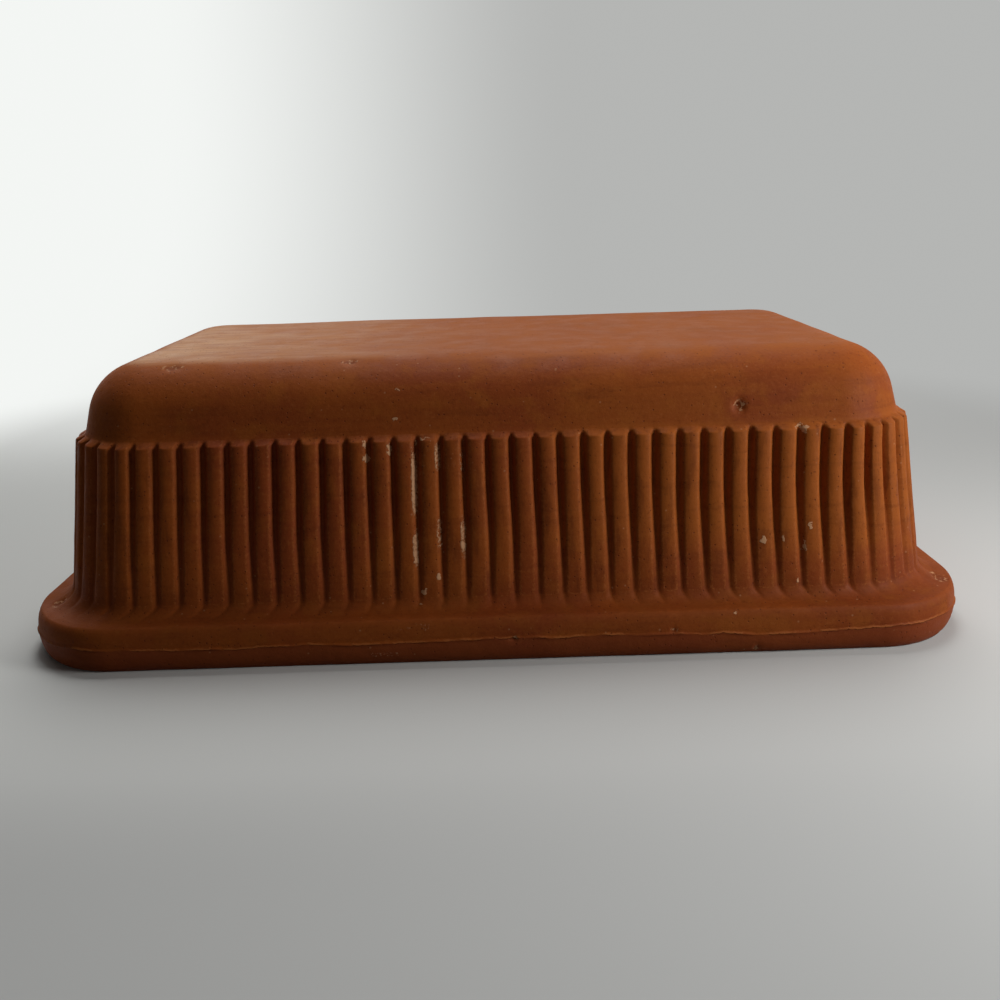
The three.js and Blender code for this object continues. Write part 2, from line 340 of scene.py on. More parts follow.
# %% Where the columns cross a reed
CROSSINGS = np.array([0.0, 0.06, 0.17, 0.26, 0.36, 0.5, 0.64, 0.74, 0.83, 0.94])
GROOVE_ROUND = 0.35
EDGE_SOFTNESS = 0.16
FIRST_GROOVE = REED_OFFSET / (4 * QUARTER_RUN) * REED_COUNT - 0.5


def reed_height(phase):
    """About 0 in the groove and nearly 1 on the middle of the face.

    The climb is the distance from the groove over the width of a flank. The root of the distance squared
    plus a radius squared rounds the groove. The face caps the climb by a soft minimum: half of the two
    together, less half the root of their difference squared plus a softness squared. The face is crowned:
    it drops with the square of the distance from its middle.
    """
    away = np.abs(phase - np.round(phase)) * REED_PITCH
    flank = (REED_PITCH - REED_FACE) / 2
    climb = (np.sqrt(away**2 + GROOVE_ROUND**2) - GROOVE_ROUND) / (flank - GROOVE_ROUND)
    face = 1 - REED_CROWN / REED_DEPTH * ((REED_PITCH / 2 - away) / (REED_FACE / 2)) ** 2
    return (climb + face - np.sqrt((climb - face) ** 2 + EDGE_SOFTNESS**2)) / 2


phase = (np.arange(REED_COUNT)[:, None] + CROSSINGS).ravel()
share = (phase + FIRST_GROOVE) / REED_COUNT
print(len(share), "columns")

# %% [markdown]
# ## Clay is never quite true
# Pressing, drying and firing leave the wall a little wavy, and no two reeds alike. Value noise gives such a
# slow, seeded unevenness: random heights on a lattice, mixed smoothly in between. It is worked out on the
# points in space, so it has no seam anywhere round the pan. Blender's own noise would serve as well, but
# takes one point at a time, while this takes the whole grid.


# %% Unevenness of hand-pressed clay
def unevenness(points, grain, seed):
    """Value noise from -1 to 1: lattice heights `grain` mm apart, each weighed by its eased nearness."""
    cells = 32
    heights = np.random.default_rng(seed).uniform(-1, 1, (cells, cells, cells))
    lattice = points / grain
    corner = np.floor(lattice).astype(int)
    ease = lattice - corner
    ease = ease * ease * (3 - 2 * ease)
    total = np.zeros(points.shape[:-1])
    for step in np.ndindex(2, 2, 2):
        weight = np.where(step, ease, 1 - ease).prod(axis=-1)
        index = (corner + step) % cells
        total += weight * heights[index[..., 0], index[..., 1], index[..., 2]]
    return total


print(f"noise at one point: {unevenness(np.full(3, 0.5), 1.0, seed=3):.2f}")

# %% [markdown]
# ## The skin as a grid of points
# Carrying the profile round the outline gives a grid: one row for each station and one column for each
# share. The reeds wander a little sideways and vary in depth, and those on the right of the front stand more
# upright than the rest. The parting line wanders up and down, as the seam between two plaster moulds does.
# Sculpting by hand could do this too, but would not come out the same each time.


# %% Carry the profile round the outline
def carry(profile, share, groove_scale=1.0):
    """Grid of points: each station's outline, cut back by the groove times one less the reed's height."""
    inset, height, radius, groove, shrink = (column[:, None] for column in profile.T)
    cut = groove * groove_scale * (1 - reed_height(phase))
    x, y = outline(inset + cut, radius - cut, share)
    return np.stack([x * shrink, y * shrink, height + np.zeros_like(x)], axis=-1)


plain = carry(profile, share[None, :])
print("grid of", plain.shape[:2], "points")

# %% Let the reeds wander
REED_WANDER, WANDER_GRAIN = 0.035, 17.0
REED_UNEVEN, UNEVEN_GRAIN, UNEVEN_LENGTHWISE = 0.1, 8.0, 0.15
UPRIGHT_SHIFT = 0.2
UPRIGHT_FULL_X, UPRIGHT_POWER = 90.0, 1.5
UPRIGHT_END_X, UPRIGHT_FADE = 135.0, 35.0
UPRIGHT_FROM_Z, UPRIGHT_CLIMB, UPRIGHT_MOST = 30.0, 26.0, 1.15

x, y, z = np.moveaxis(plain, -1, 0)
rightward = np.clip(x / UPRIGHT_FULL_X, 0, 1) ** UPRIGHT_POWER
rightward = rightward * np.clip((UPRIGHT_END_X - x) / UPRIGHT_FADE, 0, 1)
risen = np.clip((z - UPRIGHT_FROM_Z) / UPRIGHT_CLIMB, 0, UPRIGHT_MOST) ** 2
upright_reeds = UPRIGHT_SHIFT * rightward * risen * (y < 0)
wander = (REED_WANDER * unevenness(plain, WANDER_GRAIN, seed=3) + upright_reeds * on_reeds) / REED_COUNT
depth_scale = 1 + REED_UNEVEN * unevenness(plain * [1, 1, UNEVEN_LENGTHWISE], UNEVEN_GRAIN, seed=4)
skin = carry(profile, share[None, :] + wander, depth_scale)
print(f"reeds are up to {upright_reeds.max():.2f} of a pitch more upright on the right")

# %% Let the parting line wander
PARTING_WANDER = 0.8
# Each swing has a share of the wander, a grain in mm and a seed.
SWINGS = {"slow": (1.0, 38.0, 5), "quick": (0.5, 9.0, 6), "ragged": (0.25, 3.5, 13)}
in_plan = plain * [1, 1, 0]
swing = sum(PARTING_WANDER * part * unevenness(in_plan, grain, seed) for part, grain, seed in SWINGS.values())
lift = np.sin(np.clip(skin[..., 2] / RIM_THICKNESS, 0, 1) * math.pi)
skin[..., 2] += np.where(on_rim, swing * lift, 0)
print(f"parting line swings from {swing.min():.2f} to {swing.max():.2f} mm")

# %% [markdown]
# ## Waves, flash and crumbs
# Three kinds of relief push the skin in and out along its normals: slow waves in the pressed clay, the thin
# broken flash that the mould left at the parting line, and small crumbs along the edges of the reeds. A bump
# in the finish could fake them, but would leave the silhouette smooth. The flat that the pan rests on stays
# true. The waves only push inwards, and the skin is kept within the solid's box.

# %% Push points in and out along the surface
SLOW_WAVE, SLOW_GRAIN = 0.17, 42.0
QUICK_WAVE, QUICK_GRAIN = 0.08, 13.0
CRUMB_DEPTH, CRUMB_GRAIN, CRUMB_SINK = 0.05, 2.6, 0.3
TOP_CRUMB_DEPTH, TOP_CRUMB_REACH = 0.13, 1.2
FLASH_HEIGHT, FLASH_WIDTH = 0.22, 0.3
FLASH_COVER, FLASH_CONTRAST, FLASH_GRAIN = 0.35, 1.4, 6.0
RESTING_HEIGHT = 0.05


def surface_normals(grid):
    """Unit normals of the grid: the cross product of the steps along the columns and along the rows."""
    around = np.roll(grid, -1, axis=1) - np.roll(grid, 1, axis=1)
    along = np.gradient(grid, axis=0)
    normal = np.cross(around, along)
    return normal / np.linalg.norm(normal, axis=-1, keepdims=True)


normals = surface_normals(skin)
waves = SLOW_WAVE * unevenness(skin, SLOW_GRAIN, seed=7) + QUICK_WAVE * unevenness(skin, QUICK_GRAIN, seed=8)
relief = waves - (SLOW_WAVE + QUICK_WAVE)
rough_top = np.exp(-(((skin[..., 2] - REED_TOP) / TOP_CRUMB_REACH) ** 2)) * on_reeds
crumb_depth = CRUMB_DEPTH + TOP_CRUMB_DEPTH * rough_top
relief += crumb_depth * (unevenness(skin, CRUMB_GRAIN, seed=9) - CRUMB_SINK) * on_reeds
above_line = skin[..., 2] - PARTING_HEIGHT - swing * lift
broken = np.clip(FLASH_COVER + FLASH_CONTRAST * unevenness(in_plan, FLASH_GRAIN, seed=10), 0, 1)
relief += FLASH_HEIGHT * (np.exp(-((above_line / FLASH_WIDTH) ** 2)) * broken * on_rim)
relief[skin[..., 2] < RESTING_HEIGHT] = 0.0
print("base faces up:", bool(normals[-1, 0, 2] > 0))

# %% [markdown]
# ## Marks of use
# Use has left a crater in the shoulder, dents along the edge of the base and chips on the flange. Each mark
# has a place on the skin, a size and a depth. A mark is a soft mask over the grid: the points near it are
# pushed in, and the same mask tells the finish where the raw clay shows, so shape and colour can't part.
# Cutting with a Boolean would be sharper, but would leave odd faces in an even grid.

# %% Craters, dents and chips
CRATERS = {
    "crater in the shoulder": ((67.3, -57.5, 65.2), (2.6, 2.6, 2.3), 1.5),
    "dent near the left corner": ((-88.0, -46.1, 78.4), (4.2, 2.2, 2.2), 0.7),
    "pit on the edge of the base": ((-38.9, -45.7, 78.5), (3.0, 1.7, 1.6), 0.8),
    "chip on the flange, right": ((127.9, -57.0, 13.1), (2.4, 5.0, 2.4), 0.9),
    "chip on the flange, left": ((-126.5, -56.0, 13.3), (2.2, 4.0, 2.2), 0.7),
    "pit on the parting line": ((4.0, -76.5, 7.0), (1.6, 1.6, 1.2), 0.6),
    "nick in the rim": ((47.5, -76.5, 8.0), (1.3, 1.3, 1.3), 0.5),
    "nick under the rim": ((70.4, -75.4, 1.6), (1.6, 1.6, 1.3), 0.5),
}
CRATER_GRAIN, CRATER_ROUGHNESS = 1.1, 0.6


def near(centre, reach):
    """1 at a place, easing to 0 at a distance of `reach` mm, which may differ along x, y and z."""
    distance = np.linalg.norm((skin - np.array(centre)) / np.array(reach), axis=-1)
    falloff = np.clip(1 - distance, 0, 1)
    return falloff * falloff * (3 - 2 * falloff)


crumbs = unevenness(skin, CRATER_GRAIN, seed=11)
chip = np.zeros(skin.shape[:2])
for label, (centre, reach, depth) in CRATERS.items():
    hollow = near(centre, reach)
    relief -= depth * hollow * (1 + CRATER_ROUGHNESS * crumbs)
    chip = np.maximum(chip, hollow)
    print(f"{label}: {int((hollow > 0).sum())} points")

skin += normals * relief[..., None]
skin = np.clip(skin, low, high)

# %% [markdown]
# ## One closed mesh
# The grid becomes quads, the last column joined to the first, and a fan closes the floor and the base about
# a middle point. The cavity is smooth, so it keeps only every fifth column. Many-sided faces on the flat
# under the rim join its few columns to the outside's many, and stay flat themselves. A remesh would close
# the skin too, but would wash out the reeds.


# %% Faces of the skin
def wrapped_quads(first, rows, columns):
    """Quads between neighbouring rows of a grid whose points start at `first`, wrapped round the columns."""
    here = first + np.arange(rows - 1)[:, None] * columns + np.arange(columns)
    after = first + np.arange(rows - 1)[:, None] * columns + (np.arange(columns) + 1) % columns
    return np.stack([here, after, after + columns, here + columns], axis=-1).reshape(-1, 4)


def joining_faces(coarse, fine, columns, every):
    """One face from each step of a coarse row to the `every` steps of the fine row beside it."""
    few = columns // every
    step = np.arange(few)
    ends = np.stack([coarse + step, coarse + (step + 1) % few], axis=-1)
    run = (step[:, None] * every + np.arange(every, -1, -1)) % columns
    return np.concatenate([ends, fine + run], axis=1)


def fan(middle, first, columns, upward):
    """Triangles from a middle point to every step of the row that starts at `first`."""
    step = np.arange(columns)
    after = (step + 1) % columns
    pair = [step, after] if upward else [after, step]
    return np.stack([np.full(columns, middle), first + pair[0], first + pair[1]], axis=-1)


print("a fan of three:", fan(0, 1, 3, upward=True).tolist())

# %% Grid to mesh
EVERY = 5
inside_rows = len(parts["cavity"])


def thinned(values):
    """The points of the mesh in order: the thinned cavity, the outside, and the two middle points."""
    inside = values[:inside_rows, ::EVERY].reshape(-1, *values.shape[2:])
    outside = values[inside_rows:].reshape(-1, *values.shape[2:])
    middles = values[[0, -1]].mean(axis=1)
    return np.concatenate([inside, outside, middles])


def skin_faces(rows, columns):
    """All faces of the closed skin as a list of index lists."""
    few = columns // EVERY
    outside = inside_rows * few
    outside_rows = rows - inside_rows
    middle = outside + outside_rows * columns
    pieces = [
        wrapped_quads(0, inside_rows, few),
        joining_faces(outside - few, outside, columns, EVERY),
        wrapped_quads(outside, outside_rows, columns),
        fan(middle, 0, few, upward=False),
        fan(middle + 1, middle - columns, columns, upward=True),
    ]
    return [face for piece in pieces for face in piece.tolist()]


mesh = bpy.data.meshes.new("terracotta_pan")
mesh.from_pydata((thinned(skin) / METRE).tolist(), [], skin_faces(*skin.shape[:2]))
mesh.shade_smooth()
pan = bpy.data.objects.new("terracotta_pan", mesh)
bpy.context.scene.collection.objects.link(pan)
mesh.calc_loop_triangles()
print(len(mesh.vertices), "points,", len(mesh.loop_triangles), "triangles")

# %% [markdown]
# ## Masks for the finish
# Each point also carries a few numbers for the finish to read. Most run from 0 to 1: how chipped it is, how
# high it lies on a reed, whether it is on the reeds at all, the tone of its reed, the dust and painted sheen
# on the base, the worn edge of the base with its painted sheen, the painted shade at the foot of the wall,
# and the lower half of the mould. The flank runs from -1 to 1 across a reed, and the seam is the height
# above the parting line in millimetres. A vertex group could hold a mask too, but named attributes take
# whole arrays at once, and any number.

# %% Masks
WORN_SHEEN_DROP, WORN_SHEEN_REACH = 0.75, 0.35
DUST_SHEEN_DROP, DUST_SHEEN_FADE = 0.9, 0.8
DUST_SHEEN_MIDDLE, DUST_SHEEN_RUN, DUST_SHEEN_LEAST, DUST_SHEEN_POWER = 0.1, 110.0, 0.13, 1.4
FOOT_HEIGHT, FOOT_REACH = 15.0, 6.5
SEAM_REACH = 3.0
LOWER_BLEND = 0.8

x, _, z = np.moveaxis(skin, -1, 0)
below_base = z - HEIGHT
reed_tone = np.random.default_rng(12).uniform(0, 1, REED_COUNT)
# The share of dust and painted sheen grows towards the left of the base.
dust_and_sheen_left = np.clip(DUST_SHEEN_MIDDLE - x / DUST_SHEEN_RUN, DUST_SHEEN_LEAST, 1) ** DUST_SHEEN_POWER
masks = {
    "chip": chip,
    "crest": np.where(on_reeds, reed_height(phase), 0.5),
    "flank": np.where(on_reeds, np.sin(2 * math.pi * phase), 0.0),
    "reeded": on_reeds + np.zeros(skin.shape[:2]),
    "tone": np.where(on_reeds, np.repeat(reed_tone, len(CROSSINGS)), 0.5),
    # Dust and a painted sheen on the base, most on the left.
    "dust_sheen": np.clip((below_base + DUST_SHEEN_DROP) / DUST_SHEEN_FADE, 0, 1) * dust_and_sheen_left * on_shoulder,
    # The edge of the base: worn, and given a painted sheen.
    "worn": np.exp(-(((below_base + WORN_SHEEN_DROP) / WORN_SHEEN_REACH) ** 2)) * on_shoulder,
    # Where painted shade falls at the foot of the wall, next to the flange.
    "foot": np.exp(-(((z - FOOT_HEIGHT) / FOOT_REACH) ** 2)) * (on_rim | on_reeds),
    "seam": np.where(zone == "cavity", -SEAM_REACH, np.clip(above_line, -SEAM_REACH, SEAM_REACH)),
    "lower": np.clip(0.5 - above_line / LOWER_BLEND, 0, 1) * on_rim,
}
for label, values in masks.items():
    layer = mesh.attributes.new(label, "FLOAT", "POINT")
    layer.data.foreach_set("value", thinned(values).astype(np.float32))
print(len(masks), "masks")

# %% [markdown]
# ## Helpers for shader nodes
# A material is a net of small nodes. Each helper below adds one or two of them and hands back the socket
# that the next one reads, so that a finish can be written as a few lines of plain words. Nodes could be
# placed by hand in the editor, but a script makes the same net every time.

# %% Node helpers
clay = bpy.data.materials.new("terracotta")
clay.use_nodes = True
tree = clay.node_tree
tree.nodes.clear()


def feed(socket, value):
    """Links a socket to another, or sets its value."""
    if isinstance(value, bpy.types.NodeSocket):
        tree.links.new(value, socket)
    else:
        socket.default_value = value


def node(kind, inputs, **settings):
    """A new shader node with its settings and its inputs, each fed by name."""
    made = tree.nodes.new("ShaderNode" + kind)
    for name, value in settings.items():
        setattr(made, name, value)
    for name, value in inputs.items():
        feed(made.inputs[name], value)
    return made


def ramp(value, start, stop, low=0.0, high=1.0):
    """Eases from `low` to `high` as the value goes from `start` to `stop`."""
    inputs = {"Value": value, "From Min": start, "From Max": stop, "To Min": low, "To Max": high}
    return node("MapRange", inputs, interpolation_type="SMOOTHSTEP").outputs["Result"]


def maths(operation, first, second):
    """One sum, product or the like of two values."""
    made = node("Math", {}, operation=operation)
    feed(made.inputs[0], first)
    feed(made.inputs[1], second)
    return made.outputs["Value"]


def times(first, second):
    """The product of two values."""
    return maths("MULTIPLY", first, second)


def tint(factor, first, second):
    """Mixes two colours."""
    made = node("Mix", {}, data_type="RGBA")
    feed(made.inputs["Factor"], factor)
    feed(made.inputs[6], first)
    feed(made.inputs[7], second)
    return made.outputs[2]


def mask(label):
    """A mask that the mesh carries."""
    return node("Attribute", {}, attribute_name=label).outputs["Fac"]


# %% Clouds, dots and blots
def clouds(vector, size, detail=3.0, roughness=0.55):
    """Noise whose lumps are about `size` mm across."""
    inputs = {"Vector": vector, "Scale": METRE / size, "Detail": detail, "Roughness": roughness}
    return node("TexNoise", inputs).outputs["Fac"]


def stretched(vector, factors):
    """Coordinates times a factor along each axis: a pattern on them is longer where the factor is small."""
    return node("Mapping", {"Vector": vector, "Scale": factors}).outputs["Vector"]


def dots(vector, cell, radius, share):
    """Round dots of a radius in mm, at most one to a cell of `cell` mm, in a share of the cells."""
    cells = node("TexVoronoi", {"Vector": vector, "Scale": METRE / cell})
    chance = node("SeparateColor", {"Color": cells.outputs["Color"]}).outputs["Red"]
    inside = ramp(cells.outputs["Distance"], radius / cell, 0.4 * radius / cell)
    return times(inside, maths("LESS_THAN", chance, share))


def blot(vector, centre, reach):
    """1 at a place, easing to 0 at its reach, both in mm: the length of the offset over the reach."""
    inputs = {"Vector": vector, "Location": np.array(centre) / METRE, "Scale": np.array(reach) / METRE}
    offset = node("Mapping", inputs, vector_type="TEXTURE").outputs["Vector"]
    length = node("VectorMath", {"Vector": offset}, operation="LENGTH").outputs["Value"]
    return ramp(length, 1.0, 0.35)


def between(coordinate, start, stop, low=0.0, high=1.0):
    """Eases from `low` to `high` between two places along a coordinate, given in mm."""
    return ramp(coordinate, start / METRE, stop / METRE, low, high)


# %% [markdown]
# ## The colour of fired clay
# Iron gives terracotta its red-brown, and the kiln gives it clouds: redder where the air was thin, paler
# where the flame passed. The right half of the wall is painted lighter and more orange, as painted light.
# The grooves are darkened with painted shade, least on the right, the edges of the reeds are rubbed paler,
# and the lower half of the rim is more purple and painted darker, as painted shade on the half that faces
# down. Noise on Object coordinates makes the clouds, and the masks steer the rest. A painted picture could
# hold it all, but would need an unwrapped skin and a file beside the script.

# %% Clay colours
CLAY = (0.365, 0.083, 0.0125, 1)
CLAY_RED = (0.285, 0.052, 0.0125, 1)
CLAY_ORANGE = (0.43, 0.113, 0.016, 1)
CLAY_PALE = (0.47, 0.14, 0.034, 1)
# Pale dust for specks and crumbs, and the painted sheen on the left of the base.
CLAY_DUST_AND_SHEEN = (0.72, 0.385, 0.195, 1)
# Soot for runs, bands, pores and chips, and painted shade in the grooves, at the foot of the wall and under the
# parting lip.
CLAY_SOOT_AND_SHADE = (0.13, 0.025, 0.006, 1)
# The lower half of the rim: more purple, and darker as painted shade.
CLAY_LOWER_TONE_AND_SHADE = (0.27, 0.056, 0.019, 1)

place = node("TexCoord", {}).outputs["Object"]
across, _, up = node("SeparateXYZ", {"Vector": place}).outputs
firing = clouds(place, 40.0, detail=3.0)
patches = clouds(place, 8.0, detail=4.0)
colour = tint(ramp(firing, 0.42, 0.64, high=0.7), CLAY, CLAY_RED)
colour = tint(ramp(patches, 0.48, 0.7, high=0.55), colour, CLAY_ORANGE)
colour = tint(ramp(mask("tone"), 0.5, 1.0, high=0.4), colour, CLAY_RED)
on_wall = times(between(up, 20, 36), between(up, 62, 59))
# Painted light: the right half of the wall is painted lighter and more orange, where more light falls.
painted_light_right = times(on_wall, between(across, -20, 60, high=0.75))
colour = tint(painted_light_right, colour, CLAY_ORANGE)
print(len(tree.nodes), "nodes for the fired clay")

# %% Runs, bands and speckle
runs = clouds(stretched(place, (1.0, 1.0, 0.14)), 3.4, detail=4.0)
bands = clouds(stretched(place, (0.1, 0.1, 1.0)), 2.2, detail=4.0)
speckle = clouds(place, 0.9, detail=3.0, roughness=0.65)
colour = tint(times(ramp(runs, 0.52, 0.68, high=0.4), mask("reeded")), colour, CLAY_SOOT_AND_SHADE)
colour = tint(ramp(bands, 0.5, 0.7, high=0.25), colour, CLAY_ORANGE)
colour = tint(ramp(bands, 0.48, 0.3, high=0.22), colour, CLAY_SOOT_AND_SHADE)
colour = tint(ramp(speckle, 0.52, 0.75, high=0.35), colour, CLAY_PALE)
colour = tint(ramp(speckle, 0.46, 0.25, high=0.4), colour, CLAY_SOOT_AND_SHADE)
print(len(tree.nodes), "nodes with runs, bands and speckle")

# %% Painted shade in the grooves and at the foot, rubbed edges, and the lower half of the rim
crest = mask("crest")
# Painted shade: the bottoms of the grooves are darkened, most on the left, where less light reaches.
painted_groove_shade = times(ramp(crest, 0.45, 0.05), between(across, 80, -50, low=0.08, high=0.3))
colour = tint(painted_groove_shade, colour, CLAY_SOOT_AND_SHADE)
# Painted shade: a patchy darkening at the foot of the wall, where it meets the flange's fillet.
painted_foot_shade = times(mask("foot"), ramp(patches, 0.3, 0.6, low=0.2, high=0.4))
colour = tint(painted_foot_shade, colour, CLAY_SOOT_AND_SHADE)
edge = times(ramp(crest, 0.66, 0.78), ramp(crest, 0.93, 0.86))
grit = ramp(clouds(place, 0.8, detail=4.0, roughness=0.7), 0.45, 0.62)
colour = tint(times(edge, times(grit, 0.5)), colour, CLAY_PALE)
# Partly the lower half's own purple tone, partly painted shade on the half that faces down.
colour = tint(times(mask("lower"), 0.65), colour, CLAY_LOWER_TONE_AND_SHADE)
print(len(tree.nodes), "nodes with soot and rubbed edges")

# %% [markdown]
# ## The parting line, close up
# The mould's halves left a ragged lip, whole in some stretches and gone in others. Along its top runs a
# painted highlight, and below it a painted shadow. The seam mask gives the height above the line, and noise
# added to it crumbles both edges. Finer geometry could draw them, but would take far more points than the
# lip is worth.

# %% Painted highlight on the lip and painted shadow below it
crumble = times(maths("SUBTRACT", clouds(place, 1.3, detail=4.0), 0.5), 1.1)
from_line = maths("ADD", mask("seam"), crumble)
whole = ramp(clouds(place, 6.5, detail=3.0), 0.45, 0.55)
painted_lip_highlight = times(times(ramp(from_line, 0.6, 0.15), ramp(from_line, -0.08, 0.06)), whole)
painted_crease_shadow = times(times(ramp(from_line, 0.0, -0.1), ramp(from_line, -0.5, -0.2)), whole)
# Painted highlight along the top of the lip, and painted shadow under it.
colour = tint(times(painted_lip_highlight, 0.75), colour, CLAY_PALE)
colour = tint(times(painted_crease_shadow, 0.75), colour, CLAY_SOOT_AND_SHADE)
print(len(tree.nodes), "nodes with the parting line")

# %% [markdown]
# ## Dust, painted sheen and scratches on the base
# The base is painted a warmer, lighter tone than the wall, as painted light on the face turned up to the
# lamps, and has been pushed about on shelves. It is paler with dust and a painted sheen, most at the left,
# with fine scratches along its length, and its edge is worn in places, with a thin painted sheen along it.
# Noise stretched along x makes the scratches. Single strokes could be drawn one by one, but there are too
# many to place.

# %% Dusty base with painted sheen, and worn edge with painted sheen
along = stretched(place, (0.12, 1.0, 1.0))
scratches = times(maths("ADD", clouds(along, 2.0, detail=5.0), clouds(place, 14.0)), 0.5)
# Dust and a painted sheen: the base is paler to the left, a painted reflection of the bright backdrop there.
painted_sheen_and_dust = times(mask("dust_sheen"), ramp(scratches, 0.38, 0.6, low=0.55, high=1.0))
# Painted light: the base, the face turned up to the lamps, is painted warmer and lighter than the wall.
colour = tint(between(up, 76.5, 79.2, high=0.45), colour, CLAY_ORANGE)
colour = tint(painted_sheen_and_dust, colour, CLAY_DUST_AND_SHEEN)
# Wear and a painted sheen: a thin pale line where the base turns into the shoulder.
rubbed_edge_and_sheen = times(mask("worn"), ramp(clouds(along, 9.0, detail=4.0), 0.5, 0.66, high=0.5))
colour = tint(rubbed_edge_and_sheen, colour, CLAY_PALE)
print(len(tree.nodes), "nodes with the dusty base")

# %% [markdown]
# ## Pores, specks and raw clay
# Where grog and air were near the surface, firing left pin-pricks and pale grains. Cells with a dot in some
# of them scatter both evenly, and need no list of places. In the craters the raw clay shows: darker in the
# hollow, with pale crumbs.

# %% Pores and specks
pores = dots(place, 1.5, 0.3, 0.5)
specks = dots(place, 2.9, 0.38, 0.22)
colour = tint(times(pores, 0.75), colour, CLAY_SOOT_AND_SHADE)
colour = tint(times(specks, 0.3), colour, CLAY_DUST_AND_SHEEN)
chipped = mask("chip")
colour = tint(ramp(chipped, 0.15, 0.6, high=0.4), colour, CLAY_SOOT_AND_SHADE)
raw_crumbs = times(ramp(chipped, 0.05, 0.3), ramp(clouds(place, 1.1, detail=3.0), 0.52, 0.64))
colour = tint(times(raw_crumbs, 0.7), colour, CLAY_DUST_AND_SHEEN)
print(len(tree.nodes), "nodes with pores and specks")

# %% [markdown]
# ## Lime
# Hard water dried in a few grooves and left lime there, and splashes of it elsewhere. It is finer than the
# mesh, so the finish measures the distance to each splash itself. Warped coordinates crumble the edges, and
# in the grooves the lime keeps to one flank and is broken into grains. Round them lies a thin haze of grains.

# %% Splashes
LIME = (0.76, 0.43, 0.23, 1)
SPLASHES = {
    "blob between the streaks": ((-15.6, -66.8, 21.7), (1.3, 2.5, 1.2)),
    "blob at the foot": ((-20.2, -67.6, 17.6), (1.3, 2.5, 1.3)),
    "fleck at the foot": ((-21.1, -68.9, 14.6), (1.2, 1.5, 0.5)),
    "flake on a reed, upper": ((-34.5, -60.8, 58.4), (0.8, 2.0, 1.2)),
    "flake on a reed, lower": ((-34.3, -61.0, 54.4), (1.2, 2.5, 1.5)),
    "flake below the ledge": ((-27.9, -60.8, 56.7), (0.9, 2.5, 2.2)),
    "scratch along the ledge": ((-18.4, -60.7, 59.5), (2.6, 1.5, 0.35)),
    "scratch down from the ledge": ((-20.7, -60.0, 58.1), (0.35, 2.5, 1.4)),
    "fleck in the second groove": ((-15.0, -65.0, 30.4), (0.7, 2.5, 0.8)),
    "patch on the ledge": ((83.9, -60.5, 59.5), (2.0, 2.5, 1.9)),
    "spot on the right, first": ((73.5, -66.1, 29.4), (0.8, 2.5, 1.5)),
    "spot on the right, second": ((78.5, -65.8, 29.4), (0.55, 2.5, 1.4)),
    "spot on the right, third": ((86.1, -65.5, 32.9), (0.6, 2.5, 1.5)),
    "spot on the right, fourth": ((84.8, -65.7, 27.6), (0.6, 2.5, 2.0)),
    "spot on the right, low": ((83.2, -67.6, 17.5), (0.9, 2.5, 1.2)),
    "speck on the shoulder, high": ((-25.4, -54.6, 71.7), (0.9, 1.2, 0.8)),
    "speck on the shoulder, low": ((-26.1, -57.7, 64.4), (0.9, 1.2, 0.7)),
    "speck on the flange": ((64.1, -75.1, 12.3), (0.55, 0.8, 0.5)),
}
WARP_GRAIN, WARP_REACH = 1.6, 3.4


def warped(vector):
    """Coordinates moved by noise: its three channels less a half, times the reach of the warp."""
    noise = {"Vector": vector, "Scale": METRE / WARP_GRAIN, "Detail": 3.0}
    swirl = node("TexNoise", noise).outputs["Color"]
    centred = node("VectorMath", {0: swirl, 1: (0.5,) * 3}, operation="SUBTRACT").outputs["Vector"]
    reach = (WARP_REACH / METRE,) * 3
    moved = node("VectorMath", {0: centred, 1: reach}, operation="MULTIPLY").outputs["Vector"]
    return node("VectorMath", {0: vector, 1: moved}, operation="ADD").outputs["Vector"]


crumbled = warped(place)
splashed = 0.0
for centre, reach in SPLASHES.values():
    splashed = maths("MAXIMUM", splashed, blot(crumbled, centre, reach))
print(len(SPLASHES), "splashes")

# %% Streaks in the grooves
STREAKS = {
    "long streak, upper": ((-21.6, -62.0, 47.5), (2.4, 8.0, 13.0), 1.0),
    "long streak, lower": ((-21.6, -65.3, 29.5), (2.4, 8.0, 8.0), 0.85),
    "second streak, upper": ((-14.8, -61.0, 54.5), (2.4, 8.0, 6.5), 0.7),
    "second streak, lower": ((-15.0, -64.5, 33.5), (2.4, 8.0, 7.0), 0.6),
    "third streak, upper": ((-7.9, -61.0, 53.0), (2.4, 8.0, 7.5), 0.45),
    "third streak, lower": ((-8.6, -64.8, 32.5), (2.4, 8.0, 8.5), 0.75),
}
HAZES = {
    "haze round the streaks": ((-16.0, -62.0, 54.0), (24.0, 14.0, 14.0), 0.17),
    "haze at the right": ((80.0, -62.0, 44.0), (16.0, 14.0, 22.0), 0.14),
    "smear on the rim": ((-31.0, -76.0, 3.3), (8.0, 3.0, 1.6), 0.3),
    "smear above the parting line": ((-22.0, -75.5, 11.0), (12.0, 4.0, 2.0), 0.2),
}


def strongest(cover, marks):
    """The larger of a cover and every mark of a table, each a blot times its strength."""
    for centre, reach, strength in marks.values():
        cover = maths("MAXIMUM", cover, times(blot(place, centre, reach), strength))
    return cover


